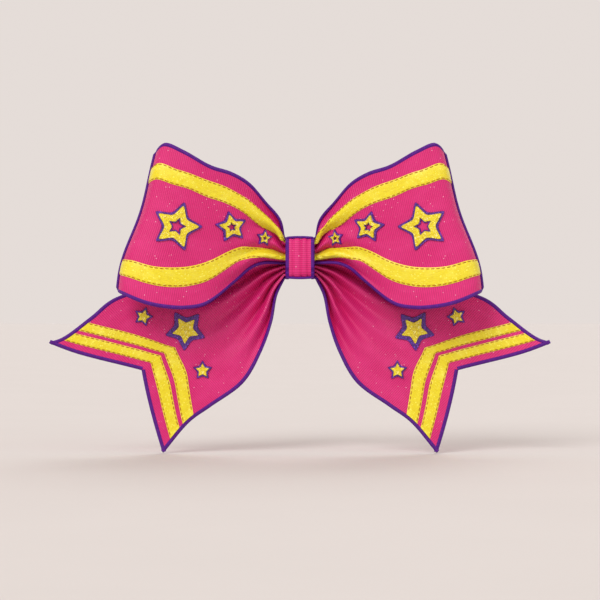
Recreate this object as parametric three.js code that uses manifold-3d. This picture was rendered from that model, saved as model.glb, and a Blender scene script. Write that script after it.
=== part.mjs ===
// Cheer hair bow: a wide ribbon pinched into two loops and two swallow-tailed tails, trimmed with
// stripes and stars, cinched in a knot and carried on a French barrette.
//
// Millimetres, +Z up. The bow's face looks along -Y and the wearer's head is on the +Y side.
// The origin is the middle of the channel that the hair lies in.

import * as THREE from 'three';
import { mergeVertices } from 'three/addons/utils/BufferGeometryUtils.js';
import Module from 'manifold-3d';

// ---- Driving dimensions ---------------------------------------------------------------------

const GAP = 0.3; // between pieces that touch
const TALL = 20; // reaches past every piece of the knot and barrette, for blocks that trim them
const LEFT = -1;
const RIGHT = 1;

// Ribbon
const RIBBON = 1.0; // thickness of the stiff 3 inch ribbon
const TRIM = 0.5; // thickness of the ribbon sewn on as stripes and chevrons
const ROOT_X = 7.8; // where loops and tails come out of the knot

// A loop's two edges seen from the front, from the knot to its outer end: [x, z]
const LOOP_TOP = [
  [ROOT_X, 9], [9.7, 17.9], [16.3, 26.1], [24.3, 35], [32.4, 39.7], [42.4, 42.8], [55, 49.7], [64, 53.2],
  [68, 50.4],
];
const LOOP_BOTTOM = [
  [ROOT_X, -3], [18.5, -3.3], [24.4, -5.9], [31.1, -11.9], [45.5, -23], [54.3, -24.8], [63.5, -24.4],
  [73.3, -22.4], [86.4, -17],
];
const LOOP_END = { tuck: 1.1, weave: 0.6 }; // how far the outer end is tucked in above, and weaves
// The loop seen from above, as two cubics: [share of the way out from the knot, y]
const LOOP_FRONT = [[0, -17.5], [0.35, -25], [1, -58], [1, -29]];
const LOOP_BACK = [[1, -29], [1, -12], [0.5, -14.2], [0, -14]];
const LOOP_STEPS = { front: 11, back: 8 };
const LOOP_COLUMNS = 12;
// The two edges of each stripe: [share of the way out from the knot, share of the width from the top]
const STRIPES = {
  upper: [
    [
      [0, 0.13], [0.06, 0.172], [0.12, 0.185], [0.2, 0.152], [0.4, 0.136], [0.6, 0.102], [0.72, 0.11],
      [0.85, 0.13], [1, 0.125],
    ],
    [
      [0, 0.2], [0.06, 0.262], [0.13, 0.34], [0.2, 0.312], [0.4, 0.249], [0.55, 0.219], [0.7, 0.21],
      [0.85, 0.232], [1, 0.235],
    ],
  ],
  lower: [
    [
      [0, 0.6], [0.05, 0.638], [0.11, 0.662], [0.2, 0.63], [0.3, 0.592], [0.4, 0.61], [0.6, 0.695],
      [0.8, 0.752], [1, 0.772],
    ],
    [
      [0, 0.845], [0.1, 0.858], [0.2, 0.814], [0.3, 0.76], [0.4, 0.783], [0.5, 0.813], [0.7, 0.86],
      [0.85, 0.873], [1, 0.88],
    ],
  ],
};
const STRIPE_COLUMNS = 3;

// A tail's two edges seen from the front, from the knot to its tips: [x, z]
const TAIL_TOP = [
  [ROOT_X, -1.5], [20, -1.5], [50, -9.5], [89.8, -20.2], [101.1, -29.1], [114.8, -39.2], [121.3, -41.5],
];
const TAIL_BOTTOM = [
  [ROOT_X, -10.2], [11.6, -18.5], [14, -31.5], [19, -46], [27.6, -60.7], [43.6, -72.5], [54, -80],
  [66.7, -95],
];
const TAIL_LENGTH = 114; // along the middle, to the line between the tips
const TAIL_Y = -11.2;
const TAIL_TWIST = 3.5; // how far the outer tip leans forward and the inner tip back
const NOTCH = { depth: 22.2, across: 0.51 }; // the swallow-tail cut
const CHEVRONS = { outer: [5.2, 11], inner: [13, 18.7] }; // distances from the cut
const CHEVRON_SPREAD = { share: 0.3, over: [0.45, 0.75] }; // wider in the lower arm, by share of the width
const CHEVRON_ENDS = 0.026; // share of the width left to the edging
const TAIL_ROWS = 7; // rows of facets between the chevrons and the knot

// Satin-stitched edging: its width, the most of the ribbon's width that it takes up, its width along
// the tail at the swallow-tail cut, its thickness, and the share of a loop between it and the knot
const EDGING = { width: 1.5, share: 0.07, alongCut: 1.7, thickness: 0.4, fromKnot: 0.015 };

// Stars: centre, radius to a point, radius of the star-shaped hole, the angle of one point, and how far
// the backing's points reach past the star's
const STAR = 0.6; // thickness
const BACKING = 0.5;
const STAR_LIFT = 0.45; // clear of the curved ribbon under it
const STAR_WAIST = 0.5; // inner corners against points
const LOOP_STARS = [
  { size: 'large', x: 58.4, z: 14, radius: 10.8, hole: 4.4, turn: 180, rim: 1.9 },
  { size: 'medium', x: 33, z: 14, radius: 6.2, hole: 2.4, turn: 152, rim: 1.9 },
  { size: 'small', x: 17.5, z: 9, radius: 2.9, hole: 1.1, turn: 170, rim: 1.2 },
];
const TAIL_STARS = [
  { size: 'large', x: 55.5, z: -35.4, radius: 7.1, hole: 0, turn: 130, rim: 3.6 },
  { size: 'outer', x: 76, z: -28.9, radius: 3.7, hole: 0, turn: 180, rim: 1.5 },
  { size: 'lower', x: 47.3, z: -55, radius: 3.7, hole: 0, turn: 90, rim: 1.5 },
];

// Knot: half width, and the cores that its rings are rounded off from, as [y, z]
const KNOT_HALF = 6.65;
const WRAP = 1.2;
const WRAP_CORE = [[-20.8, -7], [-8.3, -7], [-7.6, -6.3], [-7.6, 3.8], [-9.4, 6.1], [-20.8, 6.1]];
const WRAP_INSIDE = 2;
const KNOT_EDGING_TO = -9; // y where the knot's edging stops, clear of the barrette
const PLEATS = { y: [-21.1, -10], z: [-7.3, 6.4], half: 6.4, folds: 5, depth: 1.6 };
const ZIP = { half: 1.3, thickness: 1.1, inside: 0.6, head: { x: 1.9, y: [-10.2, -7.6], z: [-8.2, -5.8] } };

// Barrette: 80 mm French barrette
const STEEL = 0.8;
const BASE = { half: 40, halfWidth: 4.5, y: -6.3, rise: 2, flatTo: 13, padFrom: 31 };
const FELT = { half: 29, halfWidth: 5.5, thickness: 1.3 };
const SEW_HOLE = { x: 22, radius: 0.9 };
const PLATE = 0.6; // steel of the bracket, catch and tension bar
const HINGE = { x: -37.5, y: -0.8, pin: 0.7, eye: 1.8, half: 2.5 };
const BRACKET = { from: -40.6, to: -30.9, ear: 1.9 };
const RIVET = { x: 32.6, shaft: 0.6, head: 1.1, height: 0.5 };
const ARM = { inner: 2.7, half: 3.6, catchHalf: 4.3, end: 41.5, flatFrom: -26 };
const WINDOW = { x: [34, 39.4], half: 2.7 };
const TENSION = { half: 25, halfWidth: 2.6, inner: -2.9 };
const CATCH = { from: 30.9, to: 40.5, halfWidth: 3 };
const WING = { x: [34.7, 38.7], z: [1.3, 1.8], top: 5.4, hook: 2.4, hookY: [3.8, 4.9] };

// ---- Finishes -------------------------------------------------------------------------------

const finish = (color, roughness, metalness = 0) => ({ color, roughness, metalness });
const PINK = finish(0xd83a78, 0.55);
const YELLOW = finish(0xf0dd3a, 0.5);
const PURPLE = finish(0x65278a, 0.6);
const FELT_PURPLE = finish(0x4b1d66, 0.95);
const NYLON = finish(0xf2f0ea, 0.45);
const NICKEL = finish(0xc4c4c6, 0.3, 1);

// ---- Solids ---------------------------------------------------------------------------------

const wasm = await Module();
wasm.setup();

// Merges shared corners, drops triangles with no area and faces the surface outwards.
function tidy(geometry) {
  const bare = geometry.clone();
  bare.deleteAttribute('normal');
  bare.deleteAttribute('uv');
  const merged = mergeVertices(bare, 1e-4);
  const at = (i) => new THREE.Vector3().fromBufferAttribute(merged.attributes.position, i);
  const corners = merged.index.array;
  const kept = [];
  let volume = 0;
  for (let i = 0; i < corners.length; i += 3) {
    const [a, b, c] = corners.subarray(i, i + 3);
    if (a === b || b === c || c === a) continue;
    kept.push([a, b, c]);
    volume += at(a).dot(at(b).cross(at(c)));
  }
  merged.setIndex(kept.map((face) => (volume < 0 ? face.reverse() : face)).flat());
  merged.computeVertexNormals();
  return merged;
}

function toSolid(geometry) {
  const { attributes, index } = tidy(geometry);
  const vertProperties = new Float32Array(attributes.position.array);
  const triVerts = new Uint32Array(index.array);
  return new wasm.Manifold(new wasm.Mesh({ numProp: 3, vertProperties, triVerts }));
}

function fromSolid(solid) {
  const { vertProperties, triVerts } = solid.getMesh();
  const geometry = new THREE.BufferGeometry();
  geometry.setAttribute('position', new THREE.BufferAttribute(vertProperties, 3));
  geometry.setIndex(new THREE.BufferAttribute(triVerts, 1));
  return geometry;
}

const combine = (how, first, others) =>
  fromSolid(others.reduce((all, one) => all[how](toSolid(one)), toSolid(first)));
const join = (first, ...others) => combine('add', first, others);
const cut = (first, ...others) => combine('subtract', first, others);
const common = (first, ...others) => combine('intersect', first, others);

// Extrusions along each axis, from low to high. The outline is in [x, y], [y, z] or [x, z].
function alongZ(shape, low, high, curveSegments = 6) {
  const settings = { depth: high - low, bevelEnabled: false, curveSegments };
  return new THREE.ExtrudeGeometry(shape, settings).translate(0, 0, low);
}

function alongX(shape, low, high) {
  const turn = new THREE.Matrix4().set(0, 0, 1, 0, 1, 0, 0, 0, 0, 1, 0, 0, 0, 0, 0, 1);
  return alongZ(shape, low, high).applyMatrix4(turn);
}

function alongY(shape, low, high) {
  return alongZ(shape, -high, -low).rotateX(Math.PI / 2);
}

const box = (x, y, z) =>
  new THREE.BoxGeometry(x[1] - x[0], y[1] - y[0], z[1] - z[0])
    .translate((x[0] + x[1]) / 2, (y[0] + y[1]) / 2, (z[0] + z[1]) / 2);

const rod = (radius, x, y, z, sides = 12) =>
  new THREE.CylinderGeometry(radius, radius, y[1] - y[0], sides).translate(x, (y[0] + y[1]) / 2, z);

const outline = (points) => new THREE.Shape(points.map(([x, y]) => new THREE.Vector2(x, y)));

// A convex outline, anticlockwise, grown by a radius into round corners.
function rounded(core, radius, steps = 4) {
  const points = [];
  core.forEach(([x, y], i) => {
    const [beforeX, beforeY] = core.at(i - 1);
    const [afterX, afterY] = core[(i + 1) % core.length];
    const start = Math.atan2(beforeX - x, y - beforeY);
    let end = Math.atan2(x - afterX, afterY - y);
    while (end < start) end += 2 * Math.PI;
    for (let step = 0; step <= steps; step++) {
      const angle = start + ((end - start) * step) / steps;
      points.push([x + radius * Math.cos(angle), y + radius * Math.sin(angle)]);
    }
  });
  return points;
}

// ---- Sheets ---------------------------------------------------------------------------------

// A closed shell of two layers of rows by columns. With wraps, the last column meets the first.
function shell(rows, columns, at, wraps = false) {
  const positions = [];
  const number = (layer, row, column) => (layer * rows + row) * columns + (column % columns);
  for (let layer = 0; layer < 2; layer++) {
    for (let row = 0; row < rows; row++) {
      for (let column = 0; column < columns; column++) positions.push(...at(row, column, layer).toArray());
    }
  }
  const index = [];
  const quad = (a, b, c, d) => index.push(a, b, c, a, c, d);
  const span = wraps ? columns : columns - 1;
  const end = rows - 1;
  for (let c = 0; c < span; c++) {
    for (let r = 0; r < end; r++) {
      quad(number(0, r, c), number(0, r, c + 1), number(0, r + 1, c + 1), number(0, r + 1, c));
      quad(number(1, r, c), number(1, r + 1, c), number(1, r + 1, c + 1), number(1, r, c + 1));
    }
    quad(number(0, 0, c), number(1, 0, c), number(1, 0, c + 1), number(0, 0, c + 1));
    quad(number(0, end, c), number(0, end, c + 1), number(1, end, c + 1), number(1, end, c));
  }
  for (let r = 0; r < end && !wraps; r++) {
    quad(number(0, r, 0), number(0, r + 1, 0), number(1, r + 1, 0), number(1, r, 0));
    quad(number(0, r + 1, span), number(0, r, span), number(1, r, span), number(1, r + 1, span));
  }
  const geometry = new THREE.BufferGeometry();
  geometry.setAttribute('position', new THREE.Float32BufferAttribute(positions, 3));
  geometry.setIndex(index);
  return geometry;
}

const clamp = (value) => THREE.MathUtils.clamp(value, 0, 1);

// Turns point(u, v) into surface(u, v, height), where height is measured off the outer face.
function surfaceOf(point, side) {
  const step = 1e-3;
  return (u, v, height) => {
    const alongU = point(clamp(u + step), v).sub(point(clamp(u - step), v));
    const alongV = point(u, clamp(v + step)).sub(point(u, clamp(v - step)));
    const normal = alongU.cross(alongV).normalize();
    return point(u, v).addScaledVector(normal, -side * height);
  };
}

const edgeCurve = (points) =>
  new THREE.CatmullRomCurve3(points.map(([x, z]) => new THREE.Vector3(x, 0, z)), false, 'centripetal');

// The straight line across a ribbon between its two edges, a share v of the way from the top one.
const across = (top, bottom, share, v) =>
  top.getPointAt(clamp(share)).lerp(bottom.getPointAt(clamp(share)), v);

const loopCurves = [LOOP_FRONT, LOOP_BACK].map(
  (points) => new THREE.CubicBezierCurve(...points.map(([share, y]) => new THREE.Vector2(share, y))),
);

// The share of the way out from the knot, as x, and the y that a loop has at u.
const loopPath = (u) => (u < 0.5 ? loopCurves[0].getPoint(2 * u) : loopCurves[1].getPoint(2 * u - 1));

function loopSurface(side) {
  const top = edgeCurve(LOOP_TOP);
  const bottom = edgeCurve(LOOP_BOTTOM);
  return surfaceOf((u, v) => {
    const { x: share, y } = loopPath(u);
    const { x, z } = across(top, bottom, share, v);
    const outwards = LOOP_END.weave * Math.sin(3 * Math.PI * v) - LOOP_END.tuck * Math.sin(2 * Math.PI * v);
    return new THREE.Vector3(side * (x + outwards * share ** 3), y, z);
  }, side);
}

function tailSurface(side) {
  const top = edgeCurve(TAIL_TOP);
  const bottom = edgeCurve(TAIL_BOTTOM);
  return surfaceOf((u, v) => {
    const { x, z } = across(top, bottom, u, v);
    return new THREE.Vector3(side * x, TAIL_Y - TAIL_TWIST * u ** 3 * Math.cos(Math.PI * v), z);
  }, side);
}

// How far along the tail the swallow-tail cut lies.
function cutLine(v) {
  const slope = v < NOTCH.across ? v / NOTCH.across : (1 - v) / (1 - NOTCH.across);
  return 1 - (NOTCH.depth / TAIL_LENGTH) * slope;
}

// How far along the tail a point lies that is a distance from the swallow-tail cut.
function fromCut(distance, v) {
  const cutAt = cutLine(v);
  const wider = 1 + CHEVRON_SPREAD.share * THREE.MathUtils.smoothstep(v, ...CHEVRON_SPREAD.over);
  const trimmed = CHEVRONS.inner[1];
  if (distance <= trimmed) return cutAt - (distance * wider) / TAIL_LENGTH;
  return ((cutAt - (trimmed * wider) / TAIL_LENGTH) * (TAIL_LENGTH - distance)) / (TAIL_LENGTH - trimmed);
}

// The u and v of the point of a surface that is seen from the front at x, z.
function locate(surface, lastU, x, z) {
  const line = (u) => [surface(u, 0, 0), surface(u, 1, 0)];
  const beyond = ([start, end]) => (end.x - start.x) * (z - start.z) - (end.z - start.z) * (x - start.x);
  let low = 0;
  let high = lastU;
  const sign = Math.sign(beyond(line(low)));
  for (let turn = 0; turn < 30; turn++) {
    const middle = (low + high) / 2;
    if (Math.sign(beyond(line(middle))) === sign) low = middle;
    else high = middle;
  }
  const [start, end] = line(low);
  const width = Math.hypot(end.x - start.x, end.z - start.z);
  const v = ((x - start.x) * (end.x - start.x) + (z - start.z) * (end.z - start.z)) / width ** 2;
  return [low, v];
}

function starPoint(star, side, radius, waist, corner) {
  const turn = side === RIGHT ? star.turn : 180 - star.turn;
  const angle = THREE.MathUtils.degToRad(turn + 36 * corner);
  const reach = corner % 2 ? waist : radius;
  return [side * star.x + reach * Math.cos(angle), star.z + reach * Math.sin(angle)];
}

// A star laid on a surface. Each ring is [radius of the points, radius of the inner corners].
function starPatch(surface, lastU, star, side, rings, low, high) {
  const corners = 10;
  const places = rings.map(([radius, waist]) =>
    Array.from({ length: corners }, (_, i) =>
      locate(surface, lastU, ...starPoint(star, side, radius, waist, i))));
  return shell(rings.length, corners, (row, column, layer) =>
    surface(...places[row][column], layer ? high : low), true);
}

// ---- Pieces ---------------------------------------------------------------------------------

const bow = new THREE.Group();
const counted = (count, each) => Array.from({ length: count + 1 }, (_, i) => each(i / count));

function add(name, geometry, { color, roughness, metalness }) {
  const material = new THREE.MeshStandardMaterial({ color, roughness, metalness });
  const mesh = new THREE.Mesh(tidy(geometry), material);
  mesh.name = name;
  bow.add(mesh);
}

function ribbon(surface, rows, columns, low, high, place = (u) => u) {
  return shell(rows.length, columns.length, (row, column, layer) =>
    surface(place(rows[row], columns[column]), columns[column], layer ? high : low));
}

// A strip between two curved lines that run along a loop.
function stripe(surface, rows, [from, to]) {
  const low = RIBBON / 2 + GAP;
  return shell(rows.length, STRIPE_COLUMNS + 1, (row, column, layer) => {
    const { x: share } = loopPath(rows[row]);
    const line = from.getPointAt(share).lerp(to.getPointAt(share), column / STRIPE_COLUMNS);
    return surface(rows[row], line.z, low + layer * TRIM);
  });
}

// Edging along a path on a surface. Each station is its outer and its inner [u, v].
function edging(surface, stations) {
  const low = RIBBON / 2 + GAP;
  return shell(stations.length, 2, (row, column, layer) =>
    surface(...stations[row][column], low + layer * EDGING.thickness));
}

// How far from a ribbon's edge, as a share of its width, the inner line of the edging lies at u.
const edgingShare = (surface, u) =>
  Math.min(EDGING.share, EDGING.width / surface(u, 0, 0).distanceTo(surface(u, 1, 0)));

const loopEdging = (surface, rows, edge) =>
  edging(surface, rows.map((u) => [[u, edge], [u, Math.abs(edge - edgingShare(surface, u))]]));

// Out along the tail's top edge, round the swallow-tail cut and back along its bottom edge.
function tailEdging(surface, distances, columns) {
  const cutInside = (v) => cutLine(v) - EDGING.alongCut / TAIL_LENGTH;
  const along = (edge) => distances.map((distance) => {
    const u = fromCut(distance, edge);
    const v = Math.abs(edge - edgingShare(surface, u));
    return [[u, edge], [Math.min(fromCut(distance, v), cutInside(v)), v]];
  });
  const cutPart = columns.slice(1, -1).map((v) => [[cutLine(v), v], [cutInside(v), v]]);
  return edging(surface, [...along(0).reverse(), ...cutPart, ...along(1)]);
}

function addStars(part, surface, lastU, stars, side) {
  const backingLow = RIBBON / 2 + STAR_LIFT;
  const starLow = backingLow + BACKING + GAP;
  for (const star of stars) {
    const waist = star.radius * STAR_WAIST;
    const size = [star.radius, waist];
    const backed = [star.radius + star.rim, waist + star.rim * 0.65];
    const hole = [star.hole, star.hole * STAR_WAIST];
    const backedHole = hole.map((radius) => radius * 0.7);
    const halfWay = (inner, outer) => inner.map((radius, i) => (radius + outer[i]) / 2);
    const name = `${part}_star_${star.size}`;
    const rings = (inner, outer) => [inner, halfWay(inner, outer), outer];
    const patch = (inner, outer, low, thickness) =>
      starPatch(surface, lastU, star, side, rings(inner, outer), low, low + thickness);
    add(`${name}_backing`, patch(backedHole, backed, backingLow, BACKING), PURPLE);
    add(name, patch(hole, size, starLow, STAR), YELLOW);
  }
}

function addLoop(name, side) {
  const surface = loopSurface(side);
  const { front, back } = LOOP_STEPS;
  const rows = [...counted(front, (t) => t / 2), ...counted(back, (t) => 0.5 + t / 2).slice(1)];
  add(name, ribbon(surface, rows, counted(LOOP_COLUMNS, (t) => t), -RIBBON / 2, RIBBON / 2), PINK);
  for (const [which, edges] of Object.entries(STRIPES)) {
    add(`${name}_stripe_${which}`, stripe(surface, rows, edges.map(edgeCurve)), YELLOW);
  }
  // The lower edging stops at the outer end, so that the tail can swing close behind the loop.
  const edged = [EDGING.fromKnot, ...rows.slice(1, -1), 1 - EDGING.fromKnot];
  add(`${name}_edging_upper`, loopEdging(surface, edged, 0), PURPLE);
  add(`${name}_edging_lower`, loopEdging(surface, edged.filter((u) => u <= 0.5), 1), PURPLE);
  addStars(name, surface, 0.499, LOOP_STARS, side);
}

function addTail(name, side) {
  const surface = tailSurface(side);
  const edges = Object.values(CHEVRONS).flat();
  const trimmed = edges.at(-1);
  const rows = [0, ...edges, ...counted(TAIL_ROWS, (t) => trimmed + (TAIL_LENGTH - trimmed) * t).slice(1)];
  const columns = [0, 0.17, 0.34, NOTCH.across, 0.67, 0.84, 1];
  add(name, ribbon(surface, rows, columns, -RIBBON / 2, RIBBON / 2, fromCut), PINK);
  const low = RIBBON / 2 + GAP;
  const between = [CHEVRON_ENDS, ...columns.slice(1, -1), 1 - CHEVRON_ENDS];
  for (const [which, chevron] of Object.entries(CHEVRONS)) {
    add(`${name}_chevron_${which}`, ribbon(surface, chevron, between, low, low + TRIM, fromCut), YELLOW);
  }
  add(`${name}_edging`, tailEdging(surface, rows, columns), PURPLE);
  addStars(name, surface, 1, TAIL_STARS, side);
}

function addKnot() {
  const { y, z, half, folds, depth } = PLEATS;
  const zigzag = (edge, inward) => counted(2 * folds, (t) => t).map((t, i) =>
    [edge + (i % 2 ? inward * depth : 0), z[0] + (z[1] - z[0]) * t]);
  const pleats = [...zigzag(y[1], -1), ...zigzag(y[0], 1).reverse()];
  add('pleated_center', alongX(outline(pleats), -half, half), PINK);

  const inset = GAP;
  const core = [
    [y[0] + inset, z[0] + inset], [y[1] - inset, z[0] + inset],
    [y[1] - inset, z[1] - inset], [y[0] + inset, z[1] - inset],
  ];
  const band = outline(rounded(core, ZIP.inside + ZIP.thickness));
  band.holes.push(outline(rounded(core, ZIP.inside)));
  const { head } = ZIP;
  const tie = join(alongX(band, -ZIP.half, ZIP.half), box([-head.x, head.x], head.y, head.z));
  const inside = alongX(outline(rounded(core, ZIP.inside)), -KNOT_HALF, KNOT_HALF);
  add('zip_tie', cut(tie, inside), NYLON);

  const wrap = outline(rounded(WRAP_CORE, WRAP_INSIDE + WRAP));
  wrap.holes.push(outline(rounded(WRAP_CORE, WRAP_INSIDE)));
  add('center_wrap', alongX(wrap, -KNOT_HALF, KNOT_HALF), PINK);

  const outside = WRAP_INSIDE + WRAP + GAP;
  const binding = outline(rounded(WRAP_CORE, outside + EDGING.thickness));
  binding.holes.push(outline(rounded(WRAP_CORE, outside)));
  const behind = box([-KNOT_HALF - 1, KNOT_HALF + 1], [KNOT_EDGING_TO, 0], [-TALL, TALL]);
  for (const [name, side] of [['left', LEFT], ['right', RIGHT]]) {
    const ends = [KNOT_HALF * side, (KNOT_HALF - EDGING.width) * side].sort((a, b) => a - b);
    add(`knot_edging_${name}`, cut(alongX(binding, ...ends), behind), PURPLE);
  }
}

// Height of the bowed base's middle line at x: flat in the middle and on the two end pads.
const baseLine = (x) =>
  BASE.y + BASE.rise * THREE.MathUtils.smoothstep(Math.abs(x), BASE.flatTo, BASE.padFrom);

// A strip that follows the base from -half to half, between two heights off its middle line.
function bowedStrip(half, low, high, halfWidth) {
  const { flatTo, padFrom } = BASE;
  const bend = counted(6, (t) => flatTo + (padFrom - flatTo) * t).filter((x) => x < half);
  const right = [...bend, half];
  const stations = [...right.map((x) => -x).reverse(), ...right];
  const face = (height) => stations.map((x) => [x, baseLine(x) + height]);
  return alongZ(outline([...face(low), ...face(high).reverse()]), -halfWidth, halfWidth);
}

// A flat outline in x and z with round corners, as a tall block to trim strips with.
function roundedBlock(x, halfWidth, radius) {
  const inset = [x[0] + radius, x[1] - radius];
  const z = halfWidth - radius;
  const core = [[inset[0], -z], [inset[1], -z], [inset[1], z], [inset[0], z]];
  return alongY(outline(rounded(core, radius)), -TALL, TALL);
}

function addBase() {
  const { half, halfWidth } = BASE;
  const strip = bowedStrip(half, -STEEL / 2, STEEL / 2, halfWidth);
  const holes = [];
  for (const side of [LEFT, RIGHT]) {
    holes.push(rod(RIVET.shaft + GAP, side * RIVET.x, [-10, 0], 0));
    holes.push(rod(SEW_HOLE.radius, side * SEW_HOLE.x, [-10, 0], 0));
  }
  add('barrette_base', cut(common(strip, roundedBlock([-half, half], halfWidth, 3)), ...holes), NICKEL);

  const back = -STEEL / 2 - GAP;
  const felt = bowedStrip(FELT.half, back - FELT.thickness, back, FELT.halfWidth);
  add('felt_backing', common(felt, roundedBlock([-FELT.half, FELT.half], FELT.halfWidth, 3)), FELT_PURPLE);
}

const PAD = BASE.y + BASE.rise + STEEL / 2; // the end pads' face towards the head
const SEAT = [PAD + GAP, PAD + GAP + PLATE]; // the plates riveted to the pads

function addRivet(name, x) {
  const { shaft, head, height } = RIVET;
  const top = SEAT[1] + GAP;
  const bottom = PAD - STEEL - GAP;
  const profile = [
    [0, bottom - height], [head * 0.7, bottom - height], [head, bottom], [shaft, bottom],
    [shaft, top], [head, top], [head * 0.7, top + height], [0, top + height],
  ];
  const points = profile.map(([radius, y]) => new THREE.Vector2(radius, y));
  add(name, new THREE.LatheGeometry(points, 12).translate(x, 0, 0), NICKEL);
}

function addHinge() {
  const inner = HINGE.half + GAP;
  const outer = inner + PLATE;
  const ear = new THREE.Shape();
  ear.moveTo(HINGE.x - BRACKET.ear, SEAT[0]);
  ear.lineTo(HINGE.x + BRACKET.ear, SEAT[0]);
  ear.lineTo(HINGE.x + BRACKET.ear, HINGE.y);
  ear.absarc(HINGE.x, HINGE.y, BRACKET.ear, 0, Math.PI, false);
  const plate = box([BRACKET.from, BRACKET.to], SEAT, [-outer, outer]);
  const bore = new THREE.CylinderGeometry(HINGE.pin + GAP, HINGE.pin + GAP, 4 * outer, 16)
    .rotateX(Math.PI / 2).translate(HINGE.x, HINGE.y, 0);
  const holes = [bore, rod(RIVET.shaft + GAP, -RIVET.x, [-10, 0], 0)];
  const ears = [alongZ(ear, inner, outer, 12), alongZ(ear, -outer, -inner, 12)];
  add('hinge_bracket', cut(join(plate, ...ears), ...holes), NICKEL);

  const headFrom = outer + GAP;
  const headTo = headFrom + 0.5;
  const profile = [
    [0, -headTo], [HINGE.pin * 1.3, -headTo], [HINGE.pin * 1.7, -headFrom], [HINGE.pin, -headFrom],
    [HINGE.pin, headFrom], [HINGE.pin * 1.7, headFrom], [HINGE.pin * 1.3, headTo], [0, headTo],
  ];
  const points = profile.map(([radius, y]) => new THREE.Vector2(radius, y));
  const pin = new THREE.LatheGeometry(points, 12).rotateX(Math.PI / 2).translate(HINGE.x, HINGE.y, 0);
  add('hinge_pin', pin, NICKEL);
}

function addArm() {
  const { x, y, eye, pin, half } = HINGE;
  const { inner, end, flatFrom, catchHalf } = ARM;
  const outer = inner + STEEL;
  const side = new THREE.Shape();
  side.moveTo(x, y + eye);
  side.absarc(x, y, eye, Math.PI / 2, 2 * Math.PI, false);
  side.lineTo(x + eye + 0.6, y + eye - STEEL);
  side.bezierCurveTo(x + 6, y + eye - 0.4, flatFrom - 4, inner, flatFrom, inner);
  side.lineTo(end, inner);
  side.lineTo(end, outer);
  side.lineTo(flatFrom, outer);
  side.bezierCurveTo(flatFrom - 4.4, outer, x + 5.4, y + eye, x, y + eye);
  side.holes.push(outline(counted(16, (t) => 2 * Math.PI * t).slice(1).map((angle) =>
    [x + (pin + GAP) * Math.cos(angle), y + (pin + GAP) * Math.sin(angle)])));
  const taper = outline([
    [x - 3, -half], [x + 4, -half], [x + 10, -ARM.half], [WINDOW.x[0] - 8, -ARM.half],
    [WINDOW.x[0] - 3, -catchHalf], [end - 2, -catchHalf], [end, -catchHalf + 2],
    [end, catchHalf - 2], [end - 2, catchHalf], [WINDOW.x[0] - 3, catchHalf],
    [WINDOW.x[0] - 8, ARM.half], [x + 10, ARM.half], [x + 4, half], [x - 3, half],
  ]);
  const strip = common(alongZ(side, -catchHalf, catchHalf, 8), alongY(taper, -TALL, TALL));
  const window = box(WINDOW.x, [inner - 1, outer + 1], [-WINDOW.half, WINDOW.half]);
  add('barrette_arm', cut(strip, window), NICKEL);
}

function addTensionBar() {
  const { half, halfWidth, inner } = TENSION;
  const bar = box([-half, half], [inner - PLATE, inner], [-halfWidth, halfWidth]);
  add('tension_bar', common(bar, roundedBlock([-half, half], halfWidth, 1.6)), NICKEL);
}

function addCatch() {
  const plate = common(
    box([CATCH.from, CATCH.to], SEAT, [-CATCH.halfWidth, CATCH.halfWidth]),
    roundedBlock([CATCH.from, CATCH.to], CATCH.halfWidth, 1.2),
  );
  add('catch_base', cut(plate, rod(RIVET.shaft + GAP, RIVET.x, [-10, 0], 0)), NICKEL);

  const { x, z, top, hook, hookY } = WING;
  const foot = SEAT[1] + GAP;
  const section = [
    [foot, z[0]], [top, z[0]], [top, z[1]], [hookY[1], hook], [hookY[0], hook], [hookY[0] - 0.8, z[1]],
    [foot, z[1]],
  ];
  for (const [name, side] of [['catch_wing_upper', 1], ['catch_wing_lower', -1]]) {
    add(name, alongX(outline(section.map(([y, reach]) => [y, side * reach])), ...x), NICKEL);
  }
}

for (const [name, side] of [['left', LEFT], ['right', RIGHT]]) {
  addLoop(`loop_${name}`, side);
  addTail(`tail_${name}`, side);
}
addKnot();
addBase();
addHinge();
addRivet('rivet_hinge_end', -RIVET.x);
addRivet('rivet_catch_end', RIVET.x);
addArm();
addTensionBar();
addCatch();

export default bow;
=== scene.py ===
"""Looks of a cheer hair bow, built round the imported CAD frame.

The cloth is worked out here in millimetres, on the same curved surfaces as the CAD sheets, and becomes
meshes in metres. The steel and nylon pieces keep their CAD shapes and get finished materials.
"""

import math

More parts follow.
